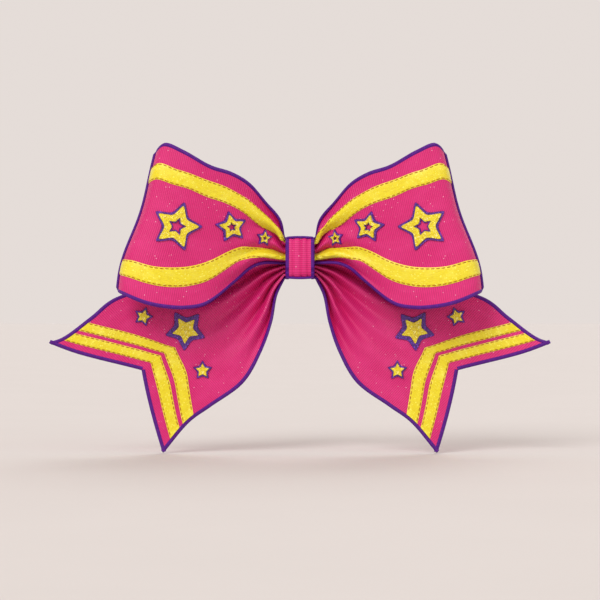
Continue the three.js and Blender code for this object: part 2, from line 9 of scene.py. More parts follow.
import bmesh
import bpy
import numpy as np
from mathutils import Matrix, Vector


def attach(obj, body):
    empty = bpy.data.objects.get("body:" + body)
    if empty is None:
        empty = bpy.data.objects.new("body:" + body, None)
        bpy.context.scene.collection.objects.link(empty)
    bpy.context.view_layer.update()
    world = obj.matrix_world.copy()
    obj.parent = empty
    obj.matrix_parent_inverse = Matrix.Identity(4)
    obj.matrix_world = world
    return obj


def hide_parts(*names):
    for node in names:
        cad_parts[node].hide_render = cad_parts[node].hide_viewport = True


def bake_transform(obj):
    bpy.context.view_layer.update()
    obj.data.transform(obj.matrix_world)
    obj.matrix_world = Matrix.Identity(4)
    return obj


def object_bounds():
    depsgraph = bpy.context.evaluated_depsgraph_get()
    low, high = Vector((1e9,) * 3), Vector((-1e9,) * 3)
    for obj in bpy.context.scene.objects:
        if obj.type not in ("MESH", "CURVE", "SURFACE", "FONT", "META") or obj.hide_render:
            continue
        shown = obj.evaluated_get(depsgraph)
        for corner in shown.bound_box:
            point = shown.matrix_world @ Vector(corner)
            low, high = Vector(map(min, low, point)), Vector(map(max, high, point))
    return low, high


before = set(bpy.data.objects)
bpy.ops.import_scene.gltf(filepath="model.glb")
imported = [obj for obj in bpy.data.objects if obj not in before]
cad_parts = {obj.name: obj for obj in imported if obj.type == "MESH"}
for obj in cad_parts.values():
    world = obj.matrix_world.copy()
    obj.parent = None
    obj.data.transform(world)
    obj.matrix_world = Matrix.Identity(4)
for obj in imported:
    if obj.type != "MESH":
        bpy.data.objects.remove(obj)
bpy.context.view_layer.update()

# ---- Sizes, in millimetres ----

MM = 0.001
SIDES = {"left": -1, "right": 1}
RIBBON_WIDTH = 76.2  # stock 3 inch ribbon
RIBBON = 0.8  # its thickness
FACE = RIBBON / 2  # from its middle to either face
ROOT_X = 7.8  # where loops and tails come out of the knot
INTO_KNOT = 2.4  # how far they run on inside it

# Edges of a loop and a tail seen from the front, from the knot outwards: x, z
LOOP_TOP = [
    (ROOT_X, 9), (9.7, 17.9), (16.3, 26.1), (24.3, 35), (32.4, 39.7), (42.4, 42.8), (55, 49.7), (64, 53.2),
    (68, 50.4),
]
LOOP_BOTTOM = [
    (ROOT_X, -3), (18.5, -3.3), (24.4, -5.9), (31.1, -11.9), (45.5, -23), (54.3, -24.8), (63.5, -24.4),
    (73.3, -22.4), (86.4, -17),
]
LOOP_END = {"tuck": 1.1, "weave": 0.6}  # how far the outer end is tucked in above, and weaves
# A loop from above, as two cubics: share of the way out from the knot, y
LOOP_FRONT = [(0, -17.5), (0.35, -25), (1, -58), (1, -29)]
LOOP_BACK = [(1, -29), (1, -12), (0.5, -14.2), (0, -14)]
TAIL_TOP = [
    (ROOT_X, -1.5), (20, -1.5), (50, -9.5), (89.8, -20.2), (101.1, -29.1), (114.8, -39.2), (121.3, -41.5),
]
TAIL_BOTTOM = [
    (ROOT_X, -10.2), (11.6, -18.5), (14, -31.5), (19, -46), (27.6, -60.7), (43.6, -72.5), (54, -80),
    (66.7, -95),
]
TAIL_LENGTH = 114
TAIL_Y = -11.2
TAIL_TWIST = 3.5  # how far the outer tip leans forward and the inner one back
TAIL_RIPPLE = {"height": 0.7, "out": 1.15, "across": 0.4, "grows": (0.25, 0.7)}
NOTCH = {"depth": 22.2, "across": 0.51}
CHEVRONS = {"outer": (5.2, 11), "inner": (13, 18.7)}  # distances from the swallow-tail cut
CHEVRON_SPREAD = {"share": 0.3, "over": (0.45, 0.75)}  # wider in the lower arm, by share of the width
# The two edges of each stripe on a loop: share of the way out from the knot, share of the width from the top
STRIPES = {
    "upper": (
        [(0, 0.13), (0.06, 0.172), (0.12, 0.185), (0.2, 0.152), (0.4, 0.136), (0.6, 0.102), (0.72, 0.11),
         (0.85, 0.13), (1, 0.125)],
        [(0, 0.2), (0.06, 0.262), (0.13, 0.34), (0.2, 0.312), (0.4, 0.249), (0.55, 0.219), (0.7, 0.21),
         (0.85, 0.232), (1, 0.235)]),
    "lower": (
        [(0, 0.6), (0.05, 0.638), (0.11, 0.662), (0.2, 0.63), (0.3, 0.592), (0.4, 0.61), (0.6, 0.695),
         (0.8, 0.752), (1, 0.772)],
        [(0, 0.845), (0.1, 0.858), (0.2, 0.814), (0.3, 0.76), (0.4, 0.783), (0.5, 0.813), (0.7, 0.86),
         (0.85, 0.873), (1, 0.88)]),
}
TRIM = 0.5  # height of the stripes and chevrons
EDGE = {"width": 1.5, "thick": 0.3}  # the satin-stitched edging
CORD_SIDES = 10  # of a round cord
# The cord sewn across a loop's outer end: radius, share left free at its ends, and how it tapers there
PIPING = {"radius": 0.85, "free": 0.009, "thinnest": 0.35, "taper_rows": 3, "lift": 0.55, "rows": 90}
# Yellow ribbon: how far it sinks into the pink, how rounded it is, and how far in its stitches run
TAPE = {"sunk": 0.1, "crown": 0.35, "inset_share": 0.07, "inset": 0.5, "clear_of_knot": 4.5}
CHEVRON_ENDS = 0.02  # share of the width left to the edging
# The stitches: how far they keep from a row's ends, and their length, pitch and thread's radius
STITCH = {
    "margin": 0.6, "length": 1.9, "pitch": 2.5, "thread": 0.2, "flatness": 0.8, "points": 6, "dip": 0.15,
    "blunt": 0.12,
}

# Pleats gathered by the knot: how many, their depth there, and the share of the way out where they fade
LOOP_PLEATS = {"waves": 3.5, "front": 2.5, "back": 1.3, "fade": (0.04, 0.56), "phase": 0}
TAIL_PLEATS = {"waves": 4.5, "depth": 3, "top_edge": 0.4, "fade": (0.04, 0.6), "phase": 0.8}
# How their pitch wanders, how sharp they are at the knot and how much softer further out
FOLD = {"wander": 0.06, "sharp": 0.97, "softer": 0.35, "soft_by": 0.4, "side_phase": 0.3}

STAR_POINTS = 5
WAIST = 0.5  # inner corners against points
# Stars: centre, radius to a point, radius of the star-shaped hole, the angle of one point, and how far the
# backing's points reach past the star's
LOOP_STARS = {
    "large": (58.4, 14, 10.8, 4.4, 180, 1.9),
    "medium": (33, 14, 6.2, 2.4, 152, 1.9),
    "small": (17.5, 9, 2.9, 1.1, 170, 1.2),
}
TAIL_STARS = {
    "large": (55.5, -35.4, 7.1, 0, 130, 3.6),
    "outer": (76, -28.9, 3.7, 0, 180, 1.5),
    "lower": (47.3, -55, 3.7, 0, 90, 1.5),
}
# Heights are above the ribbon's outer face; the rim at inner corners is a share of that at the points
BACKING = {"low": 0.05, "high": 0.75, "bevel": 0.3, "corner_rim": 0.65, "hole": 0.7}
STAR = {"low": 0.7, "high": 1.5, "bevel": 0.35, "rounded": 0.6, "centre": 0.06}
GLUED_FLAT = {"share": 1.25, "beyond": 1}  # the flat patch of ribbon under a star, by its radius

# Knot: half width, and the core that its ring is rounded off from, as y, z
KNOT_HALF = 6.65
WRAP_CORE = [(-20.8, -7), (-8.3, -7), (-7.6, -6.3), (-7.6, 3.8), (-9.4, 6.1), (-20.8, 6.1)]
WRAP = {"inside": 2.0, "outside": 3.1, "flat_behind": (-9.5, -8), "thinner_behind": 0.26}
CROWN = {"height": 0.7, "half": 9.0, "from_y": (-17, -22)}  # the bow of the knot's front face
CREASES = {"at": (-3.3, 0.5, 3.7), "depth": 0.6, "width": 0.6}
SWELL = {"middle": 0.45, "ends": 0.3, "ripple": 0.1, "ripples": 5}
CORNER_CORD = {"radius": 0.6, "short_of_edge": 0.4, "way": (-0.55, 0.84), "lift": 0.35, "bulge": 0.45}
BUNDLE = {
    "y": (-20.9, -10.2), "z": (-7.1, 6.2), "half": 5.6, "folds": 5, "thickness": 0.8, "swing": 0.46,
    "margin": 0.8,
}

# The bowed steel base, and the felt pad between it and the ribbons
BASE = {"y": -6.3, "rise": 2, "flat_to": 13, "pad_from": 31, "steel": 0.8}
FELT = {
    "half": 29, "half_width": 5.5, "thickness": 1.3, "gap": 0.3, "corner": 3, "fuzz": 0.05, "soften": 0.45,
    "soft_from": 0.86, "soften_top": 0.4, "fuzz_below": 0.8, "round_ends": 0.985, "seed": 11,
}
# Sewing thread: its place along the base, its radius, its turns and how far they stand apart and lean
SEW = {"x": 22, "thread": 0.22, "turns": 4, "spacing": 0.42, "into_felt": 1.1, "lean": 0.9}

# Where an edge counts as sharp and where one is bevelled, in degrees, and how much
SHARP_FROM = 40
HARDWARE = {"sharp_from": 32, "bevel_from": 40, "bevel": 0.1, "weld": 0.002}

SLOPE_STEP = 1e-3  # of u or v, to either side of a point, for the directions on a surface
NEWTON = {"rounds": 30, "step": 1e-4, "most_u": 0.1, "most_v": 0.3, "least": 0.005}


# ---- Curves and surfaces ----

def smooth(low, high, x):
    t = np.clip((x - low) / (high - low), 0, 1)
    return t * t * (3 - 2 * t)


def unit(vectors):
    return vectors / np.linalg.norm(vectors, axis=-1, keepdims=True)


def travelled(points):
    """The distance to each point of a row from the first, along the row."""
    return np.concatenate([[0], np.cumsum(np.linalg.norm(np.diff(points, axis=0), axis=1))])


def two_spans(start, middle, end, first, second):
    """Even steps from start to middle and from there to end, with so many values in each span."""
    return np.concatenate([np.linspace(start, middle, first), np.linspace(middle, end, second)[1:]])


def circle(radius, count):
    turn = np.linspace(0, math.tau, count, endpoint=False)
    return [(radius * math.cos(a), radius * math.sin(a)) for a in turn]


def edge_curve(points, steps=40):
    """A centripetal Catmull-Rom curve through the points, as a function of the share of its length."""
    p = np.array(points, float)
    p = np.vstack([2 * p[0] - p[1], p, 2 * p[-1] - p[-2]])
    t = np.linspace(0, 1, steps, endpoint=False)[:, None]
    path = []
    for a, b, c, d in zip(p, p[1:], p[2:], p[3:]):
        ab, bc, cd = (math.sqrt(np.linalg.norm(q)) for q in (b - a, c - b, d - c))
        start = ((b - a) / ab - (c - a) / (ab + bc) + (c - b) / bc) * bc
        end = ((c - b) / bc - (d - b) / (bc + cd) + (d - c) / cd) * bc
        squared, cubed = 3 * (c - b) - 2 * start - end, 2 * (b - c) + start + end
        path.append(b + start * t + squared * t**2 + cubed * t**3)
    path = np.vstack([*path, p[-2:-1]])
    length = travelled(path)
    length /= length[-1]
    return lambda share: tuple(np.interp(share, length, path[:, i]) for i in (0, 1))


def bezier(points, t):
    a, b, c, d = np.array(points, float)
    weights = (1 - t) ** 3, 3 * (1 - t) ** 2 * t, 3 * (1 - t) * t**2, t**3
    return tuple(sum(w * p[i] for w, p in zip(weights, (a, b, c, d))) for i in (0, 1))


def across(edges, share, v):
    """x and z of the straight line between a ribbon's two edges, a share v of the way from the top one."""
    (x0, z0), (x1, z1) = (edge(share) for edge in edges)
    return x0 + (x1 - x0) * v, z0 + (z1 - z0) * v


def pleat(kind, share, v, side):
    """Folds across the ribbon, sharp at the knot and gone where the ribbon has spread out."""
    phase = kind["phase"] + FOLD["side_phase"] * side
    angle = math.tau * (kind["waves"] * v + FOLD["wander"] * np.sin(math.tau * v + phase)) + phase
    sharpness = FOLD["sharp"] - FOLD["softer"] * smooth(0, FOLD["soft_by"], share)
    fold = np.arcsin(sharpness * np.sin(angle)) / np.arcsin(sharpness)
    return fold * (1 - smooth(*kind["fade"], share))


def held_flat(x, z, stars):
    """0 where a star is glued on, because the ribbon lies flat under it, and 1 away from them."""
    free = 1.0
    for cx, cz, radius, *_ in stars.values():
        patch = GLUED_FLAT["share"] * radius + GLUED_FLAT["beyond"]
        free = free * (1 - np.exp(-(((x - cx) ** 2 + (z - cz) ** 2) / patch**2) ** 2))
    return free


class Surface:
    """A ribbon's middle surface. u runs out from the knot, v from the top edge to the bottom one."""

    def __init__(self, side, first, last):
        self.side, self.first, self.last = side, first, last

    def at(self, u, v, height=0.0):
        """Points of the surface, raised off its outer face by height."""
        u, v, height = (a.astype(float) for a in np.broadcast_arrays(u, v, height))
        middle, normal = self.point(u, v), self.normal(u, v)
        return middle + normal * height[..., None]

    def along(self, u, v):
        behind, ahead = (np.clip(u + step, self.first, self.last) for step in (-SLOPE_STEP, SLOPE_STEP))
        return self.point(ahead, v) - self.point(behind, v)

    def down(self, u, v):
        above, below = (np.clip(v + step, 0, 1) for step in (-SLOPE_STEP, SLOPE_STEP))
        return self.point(u, below) - self.point(u, above)

    def normal(self, u, v):
        return unit(-self.side * np.cross(self.along(u, v), self.down(u, v)))

    def lengths(self, v, rows=400):
        """u and the distance travelled from the first row, along the line v."""
        u = np.linspace(self.first, self.last, rows)
        return u, travelled(self.point(u, np.full(rows, v)))

    def locate(self, x, z):
        """u and v of the points that are seen from the front at x, z, by Newton's method."""
        u, v = self.guess(np.abs(x)), np.full(np.shape(x), 0.5)
        step, most_u, most_v = NEWTON["step"], NEWTON["most_u"], NEWTON["most_v"]
        for _ in range(NEWTON["rounds"]):
            here = self.point(u, v)
            du = (self.point(u + step, v) - here) / step
            dv = (self.point(u, v + step) - here) / step
            miss_x, miss_z = x - here[..., 0], z - here[..., 2]
            size = du[..., 0] * dv[..., 2] - du[..., 2] * dv[..., 0]
            u = u + np.clip((miss_x * dv[..., 2] - miss_z * dv[..., 0]) / size, -most_u, most_u)
            v = v + np.clip((miss_z * du[..., 0] - miss_x * du[..., 2]) / size, -most_v, most_v)
            u, v = np.clip(u, NEWTON["least"], self.seen), np.clip(v, 0, 1)
        return u, v


class Loop(Surface):
    edges = edge_curve(LOOP_TOP), edge_curve(LOOP_BOTTOM)
    seen = 0.495  # the furthest u that the front shows
    inside = 0.016  # of u, in the knot at either end

    def __init__(self, side):
        super().__init__(side, -self.inside, 1 + self.inside)

    def guess(self, x):
        return 0.45 * (x - ROOT_X) / (LOOP_TOP[-1][0] - ROOT_X)

    def path(self, u):
        """The share of the way out from the knot, and y, of the loop seen from above."""
        t = np.clip(u, 0, 1)
        front, back = bezier(LOOP_FRONT, 2 * t), bezier(LOOP_BACK, 2 * t - 1)
        return tuple(np.where(t < 0.5, a, b) for a, b in zip(front, back))

    def point(self, u, v):
        in_knot = np.maximum(0, np.maximum(-u, u - 1)) / self.inside
        front = u < 0.5
        share, y = self.path(u)
        x, z = across(self.edges, share, v)
        outwards = LOOP_END["weave"] * np.sin(3 * math.pi * v) - LOOP_END["tuck"] * np.sin(math.tau * v)
        x = x + outwards * share**3 - in_knot * INTO_KNOT
        free = np.where(front, held_flat(x, z, LOOP_STARS), 1)
        depth = np.where(front, LOOP_PLEATS["front"], LOOP_PLEATS["back"])
        y = y + depth * free * pleat(LOOP_PLEATS, share, v, self.side)
        return np.stack([self.side * x, y, z], -1)


class Tail(Surface):
    edges = edge_curve(TAIL_TOP), edge_curve(TAIL_BOTTOM)
    seen = 1
    inside = 0.02

    def __init__(self, side):
        super().__init__(side, -self.inside, 1)

    def guess(self, x):
        return np.clip((x - ROOT_X) / (TAIL_TOP[-1][0] - ROOT_X), 0.1, 0.9)

    def point(self, u, v):
        t = np.clip(u, 0, 1)
        x, z = across(self.edges, t, v)
        x = x - np.maximum(0, -u) / self.inside * INTO_KNOT
        free = held_flat(x, z, TAIL_STARS)
        waves = TAIL_RIPPLE["out"] * t + TAIL_RIPPLE["across"] * v
        ripple = TAIL_RIPPLE["height"] * np.sin(math.tau * waves + self.side)
        ripple = ripple * smooth(*TAIL_RIPPLE["grows"], t)
        shallow = (1 - TAIL_PLEATS["top_edge"]) * (1 - smooth(0, 0.25, v))
        pleats = TAIL_PLEATS["depth"] * (1 - shallow) * pleat(TAIL_PLEATS, t, v, self.side)
        y = TAIL_Y - TAIL_TWIST * t**3 * np.cos(math.pi * v) + free * (ripple + pleats)
        return np.stack([self.side * x, y, z], -1)


def from_cut(distance, v):
    """How far along the tail a point lies that is a distance from the swallow-tail cut."""
    v = np.asarray(v, float)
    slope = np.where(v < NOTCH["across"], v / NOTCH["across"], (1 - v) / (1 - NOTCH["across"]))
    cut = 1 - NOTCH["depth"] / TAIL_LENGTH * slope
    wider = 1 + CHEVRON_SPREAD["share"] * smooth(*CHEVRON_SPREAD["over"], v)
    trimmed = CHEVRONS["inner"][1]
    root = (cut - trimmed * wider / TAIL_LENGTH) * (TAIL_LENGTH - distance) / (TAIL_LENGTH - trimmed)
    return np.where(distance <= trimmed, cut - distance * wider / TAIL_LENGTH, root)


# ---- Meshes ----
# A part is points (n, 3), faces (lists of point numbers) and cloth coordinates (n, 2), in millimetres.

def quads(rows, columns, wrap=False):
    r = np.arange(rows - 1)[:, None]
    c = np.arange(columns if wrap else columns - 1)[None, :]
    nearby = (c + 1) % columns
    corners = r * columns + c, r * columns + nearby, (r + 1) * columns + nearby, (r + 1) * columns + c
    return np.stack(corners, -1).reshape(-1, 4).tolist()


def shell(outer, inner, uv, wrap=False):
    """A closed sheet between two grids of points. With wrap, the last column meets the first."""
    rows, columns = outer.shape[:2]
    number = np.arange(rows * columns).reshape(rows, columns)
    borders = [number[0], number[-1]]
    if wrap:
        borders = [np.append(border, border[0]) for border in borders]
    else:
        borders += [number[:, 0], number[:, -1]]
    faces = quads(rows, columns, wrap)
    size = number.size
    faces += [[size + i for i in reversed(face)] for face in faces]
    for border in borders:
        faces += [[a, b, size + b, size + a] for a, b in zip(border[:-1].tolist(), border[1:].tolist())]
    points = np.concatenate([outer.reshape(-1, 3), inner.reshape(-1, 3)])
    return points, faces, np.tile(uv.reshape(-1, 2), (2, 1))


def sweep(centres, first, second, profile, closed=False, scale=None):
    """A closed tube: the profile's two coordinates are taken along the first and second directions."""
    n, m = len(centres), len(profile)
    scale = np.ones(n) if scale is None else scale
    profile = np.array(profile, float)
    rings = centres[:, None] + scale[:, None, None] * (
        first[:, None] * profile[None, :, :1] + second[:, None] * profile[None, :, 1:])
    uv = np.stack(np.broadcast_arrays(travelled(centres)[:, None], travelled(profile)[None, :]), -1)
    faces = quads(n, m, wrap=True)
    if closed:
        last = (n - 1) * m
        faces += [[last + i, last + (i + 1) % m, (i + 1) % m, i] for i in range(m)]
    else:
        faces += [list(range(m)), list(range((n - 1) * m, n * m))]
    return rings.reshape(-1, 3), faces, uv.reshape(-1, 2)


def merged(parts):
    points, faces, uvs, start = [], [], [], 0
    for p, f, uv in parts:
        points.append(p)
        faces += [[start + i for i in face] for face in f]
        uvs.append(uv)
        start += len(p)
    return np.concatenate(points), faces, np.concatenate(uvs)


def add_object(name, data):
    made = bpy.data.objects.new(name, data)
    bpy.context.scene.collection.objects.link(made)
    return made


def piece(name, parts, finish, round_trip=None):
    """A mesh object in the part's frame from parts in millimetres, with outward faces. finish is a material
    and a slot name, of which only the material is given to the mesh, and round_trip the length after which a
    ring's cloth coordinates start again."""
    points, faces, uv = merged(parts)
    mesh = bpy.data.meshes.new(name)
    mesh.from_pydata((points * MM).tolist(), [], faces)
    edit = bmesh.new()
    edit.from_mesh(mesh)
    bmesh.ops.recalc_face_normals(edit, faces=edit.faces)
    edit.to_mesh(mesh)
    edit.free()
    corners = np.empty(len(mesh.loops), np.int32)
    mesh.loops.foreach_get("vertex_index", corners)
    uv = uv[corners]
    if round_trip:
        face = np.repeat(np.arange(len(mesh.polygons)), [len(f.vertices) for f in mesh.polygons])
        furthest = np.full(len(mesh.polygons), -np.inf)
        np.maximum.at(furthest, face, uv[:, 0])
        uv[:, 0] += round_trip * (furthest[face] - uv[:, 0] > round_trip / 2)
    mesh.uv_layers.new(name="Cloth").data.foreach_set("uv", uv.astype(np.float32).ravel())
    mesh.shade_smooth()
    mesh.set_sharp_from_angle(angle=math.radians(SHARP_FROM))
    mesh.materials.append(finish[0])
    made = add_object(name, mesh)
    return made


def slab(surface, u, v, low, high, crown=0.0):
    """A sheet on a surface. u is (rows, columns) or (rows, 1); crown rounds it down to its long edges."""
    u, v = np.broadcast_arrays(u, v)
    middle_u, distance = surface.lengths(0.5)
    uv = np.stack([np.interp(u, middle_u, distance), v * RIBBON_WIDTH], -1)
    reach = np.linspace(-1, 1, u.shape[1])[None, :]
    top = high - crown * reach**6
    return shell(surface.at(u, v, top), surface.at(u, v, low), uv)


def binding(surface, u, v, inward):
    """Satin stitches wrapped round an edge: u and v run along it, inward points into the ribbon."""
    width, thick = EDGE["width"], EDGE["thick"]
    half = [(width, FACE - 0.05), (width - 0.25, FACE + 0.6 * thick), (0.5 * width, FACE + thick),
            (0.1 * width, FACE + 0.8 * thick), (-0.25, 0.6 * FACE)]
    profile = [*half, (-0.4, 0), *[(a, -b) for a, b in reversed(half)]]
    return sweep(surface.point(u, v), unit(inward), surface.normal(u, v), profile)


# ---- Materials ----

def linear(red, green, blue):
    """An sRGB colour of 0 to 255 as the shader's linear one."""
    return (*(((c / 255 + 0.055) / 1.055) ** 2.4 if c > 10 else c / 3295 for c in (red, green, blue)), 1)


class Finish:
    """A node material on the Principled shader. sheen and coat are each a weight and a roughness."""

    def __init__(self, name, specular=0.5, metallic=0.0, sheen=(0, 0.5), coat=(0, 0.03),
                 tint=(255, 255, 255)):
        self.material = bpy.data.materials.new(name)
        self.material.use_nodes = True
        self.tree = self.material.node_tree
        self.shader = self.tree.nodes["Principled BSDF"]
        constants = {
            "Specular IOR Level": specular, "Metallic": metallic, "Sheen Weight": sheen[0],
            "Sheen Roughness": sheen[1], "Sheen Tint": linear(*tint), "Coat Weight": coat[0],
            "Coat Roughness": coat[1],
        }
        for socket, value in constants.items():
            self.shader.inputs[socket].default_value = value

    def node(self, kind, inputs, output=0, **settings):
        made = self.tree.nodes.new("ShaderNode" + kind)
        for setting, value in settings.items():
            setattr(made, setting, value)
        for socket, value in inputs.items():
            self.put(made.inputs[socket], value)
        return made.outputs[output]

    def put(self, socket, value):
        if isinstance(value, bpy.types.NodeSocket):
            self.tree.links.new(value, socket)
        else:
            socket.default_value = value

    def math(self, operation, a, b=0.0):
        return self.node("Math", {0: a, 1: b}, operation=operation)

    def times(self, a, b):
        return self.math("MULTIPLY", a, b)

    def plus(self, a, b):
        return self.math("ADD", a, b)

    def mix(self, factor, a, b):
        """a and b are sockets or sRGB colours."""
        a, b = (linear(*c) if isinstance(c, tuple) else c for c in (a, b))
        return self.node("Mix", {0: factor, 6: a, 7: b}, output=2, data_type="RGBA")

    def scaled(self, vector, x, y, z=1.0):
        return self.node("Mapping", {"Vector": vector, "Scale": (x, y, z)})

    def noise(self, vector, scale, detail=3.0, rough=0.55):
        return self.node("TexNoise", {"Vector": vector, "Scale": scale, "Detail": detail, "Roughness": rough})

    def cells(self, vector, scale, output):
        return self.node("TexVoronoi", {"Vector": vector, "Scale": scale}, output=output)

    def ramp(self, value, low, high, to_low=0.0, to_high=1.0):
        inputs = {0: value, 1: low, 2: high, 3: to_low, 4: to_high}
        return self.node("MapRange", inputs, interpolation_type="SMOOTHSTEP")

    def wave(self, value, pitch):
        """0 to 1 and back once in each pitch."""
        turn = self.math("SINE", self.times(value, math.tau / pitch))
        return self.node("MapRange", {0: turn, 1: -1.0, 2: 1.0, 3: 0.0, 4: 1.0})

    def cloth(self):
        """The cloth coordinates in millimetres, as a vector, and their two numbers."""
        vector = self.node("UVMap", {}, uv_map="Cloth")
        split = self.tree.nodes.new("ShaderNodeSeparateXYZ")
        self.tree.links.new(vector, split.inputs[0])
        return vector, split.outputs[0], split.outputs[1]

    def place(self):
        """The place in the part's frame in millimetres, for pieces without cloth coordinates."""
        where = self.node("TexCoord", {}, output=3)
        return self.scaled(where, 1 / MM, 1 / MM, 1 / MM)

    def finish(self, colour, rough=None, height=None, depth=0.1):
        """depth is the height of the bumps in millimetres."""
        self.put(self.shader.inputs["Base Color"], colour)
        if rough is not None:
            self.put(self.shader.inputs["Roughness"], rough)
        if height is not None:
            bump = self.node("Bump", {"Height": height, "Distance": depth * MM, "Strength": 1.0})
            self.put(self.shader.inputs["Normal"], bump)
        return self.material


def grosgrain(name, deep, plain, bright):
    """Ribbed polyester ribbon, with ribs across its length and painted shade in the valleys between them, a
    slight sheen and a dusting of glitter whose pale flecks are partly painted glints.
    """
    rib_pitch, yarn_pitch = 0.95, 0.42
    f = Finish(name, specular=0.35, sheen=(0.25, 0.4), tint=bright)
    vector, along, width = f.cloth()
    rib = f.wave(f.plus(along, f.times(f.noise(vector, 0.5), 0.12)), rib_pitch)
    yarn = f.wave(width, yarn_pitch)
    cloud = f.noise(f.scaled(vector, 0.5, 1.0), 0.11, 4)
    slub = f.noise(f.scaled(vector, 6.0, 0.35), 0.8, 2)
    # Painted shade: the rib valleys take the deep colour and the crests the plain one.
    tone = f.mix(f.ramp(rib, 0.0, 0.75, 0.25, 1.0), deep, plain)
    tone = f.mix(f.ramp(cloud, 0.4, 0.75, 0.0, 0.3), tone, bright)
    tone = f.mix(f.ramp(slub, 0.55, 0.8, 0.0, 0.25), tone, deep)
    # Pale flecks: partly the ribbon's own pale specks and partly painted glints of glitter, with a lower
    # roughness.
    fleck = f.cells(vector, 1.15, 1)
    pick = f.node("SeparateColor", {0: fleck})
    fleck_and_painted_glint = f.times(f.ramp(pick, 0.955, 0.985), f.ramp(f.cells(vector, 1.15, 0), 0.32, 0.16))
    tone = f.mix(f.times(fleck_and_painted_glint, 0.75), tone, (255, 205, 222))
    rough = f.ramp(f.math("SUBTRACT", cloud, f.times(fleck_and_painted_glint, 0.5)), 0.2, 0.8, 0.34, 0.56)
    height = f.plus(rib, f.times(yarn, 0.22))
    return f.finish(tone, rough, height, 0.09)


def glitter(name, deep, plain, bright, metallic=0.25):
    """Vinyl packed with small flakes, each at its own angle. Their tone differs at random, and the palest are
    painted glints.
    """
    f = Finish(name, specular=0.6, metallic=metallic, coat=(0.25, 0.2))
    vector, _, _ = f.cloth()
    flake = f.cells(vector, 2.3, 1)
    red, green = (f.node("SeparateColor", {0: flake}, output=i) for i in (0, 1))
    tone = f.mix(f.ramp(red, 0.1, 0.5), deep, plain)
    # Painted glints: the palest flakes take the bright colour.
    tone = f.mix(f.ramp(green, 0.82, 0.95), tone, bright)
    rough = f.ramp(red, 0.0, 1.0, 0.5, 0.2)
    height = f.plus(green, f.times(f.cells(vector, 2.3, 0), 0.7))
    return f.finish(tone, rough, height, 0.07)


def satin_tape(name, deep, plain, bright):
    """Smooth satin ribbon: long floats of yarn along it and a fine shimmer, painted in as pale flecks."""
    f = Finish(name, specular=0.45, sheen=(0.2, 0.3), coat=(0.12, 0.3))
    vector, along, width = f.cloth()
    float_noise = f.noise(f.scaled(vector, 0.25, 5.0), 1.0, 3)
    cloud = f.noise(vector, 0.14, 3)
    weft, warp = f.wave(along, 0.5), f.wave(width, 0.3)
    flake = f.node("SeparateColor", {0: f.cells(vector, 1.9, 1)})
    tone = f.mix(f.ramp(float_noise, 0.3, 0.62), deep, plain)
    tone = f.mix(f.ramp(cloud, 0.45, 0.8, 0.0, 0.5), tone, bright)
    # Painted glints: the shimmer is pale flecks mixed into the colour.
    tone = f.mix(f.ramp(flake, 0.9, 0.97, 0.0, 0.85), tone, bright)
    rough = f.ramp(float_noise, 0.25, 0.75, 0.28, 0.5)
    height = f.plus(f.times(weft, 0.45), f.times(warp, 0.35))
    return f.finish(tone, rough, f.plus(height, f.times(float_noise, 0.5)), 0.05)


def satin_stitch(name, deep, plain, bright, pitch=0.55):
    """Close machine stitches lying side by side across an edge, with painted shade between the threads."""
    f = Finish(name, specular=0.3, sheen=(0.2, 0.35), tint=bright)
    vector, along, _ = f.cloth()
    wander = f.times(f.noise(vector, 0.9), 0.25)
    thread = f.wave(f.plus(along, wander), pitch)
    shade = f.noise(f.scaled(vector, 2.0, 0.3), 1.0, 2)
    # Painted shade: the gaps between threads take the deep colour.
    tone = f.mix(f.ramp(thread, 0.05, 0.8), deep, plain)
    tone = f.mix(f.ramp(shade, 0.5, 0.85, 0.0, 0.45), tone, bright)
    rough = f.ramp(shade, 0.2, 0.8, 0.4, 0.6)
    return f.finish(tone, rough, thread, 0.12)


def felt_finish(name, deep, plain, bright):
    """Pressed wool felt: short fibres every way, with painted light: a little paler where they stand up and
    darker down between them.
    """
    f = Finish(name, specular=0.15, sheen=(0.6, 0.7), tint=bright)
    vector, _, _ = f.cloth()
    twisted = f.node("VectorMath", {0: vector, 1: f.noise(vector, 0.8)}, operation="ADD")
    fibre = f.noise(f.scaled(twisted, 5.0, 1.1), 1.1, 5, 0.7)
    crossed = f.noise(f.scaled(twisted, 1.1, 5.0), 1.1, 5, 0.7)
    fuzz = f.math("MAXIMUM", fibre, crossed)
    # Painted light: low fibres take the deep colour, and raised ones the plain and then the bright one.
    tone = f.mix(f.ramp(fuzz, 0.42, 0.62), deep, plain)
    tone = f.mix(f.ramp(fuzz, 0.62, 0.78, 0.0, 0.7), tone, bright)
    return f.finish(tone, f.ramp(fuzz, 0.4, 0.8, 0.85, 0.98), fuzz, 0.3)


def steel_finish(name):
    """Nickel-plated spring steel, brushed along its length, with handling scratches."""
    f = Finish(name, metallic=1.0, coat=(0.1, 0.1))
    where = f.place()
    brushed = f.noise(f.scaled(where, 0.12, 9.0, 9.0), 1.0, 4, 0.6)
    haze = f.noise(where, 0.16, 4)
    scratch = f.ramp(f.noise(f.scaled(where, 0.35, 5.0, 2.2), 1.6, 6, 0.75), 0.68, 0.74)
    tone = f.mix(f.ramp(haze, 0.35, 0.75), (203, 202, 198), (182, 180, 176))
    tone = f.mix(f.times(scratch, 0.35), tone, (150, 148, 146))
    rough = f.plus(f.ramp(brushed, 0.3, 0.7, 0.16, 0.3), f.times(scratch, 0.2))
    height = f.math("SUBTRACT", f.times(brushed, 0.5), f.times(scratch, 0.5))
    return f.finish(tone, rough, height, 0.01)


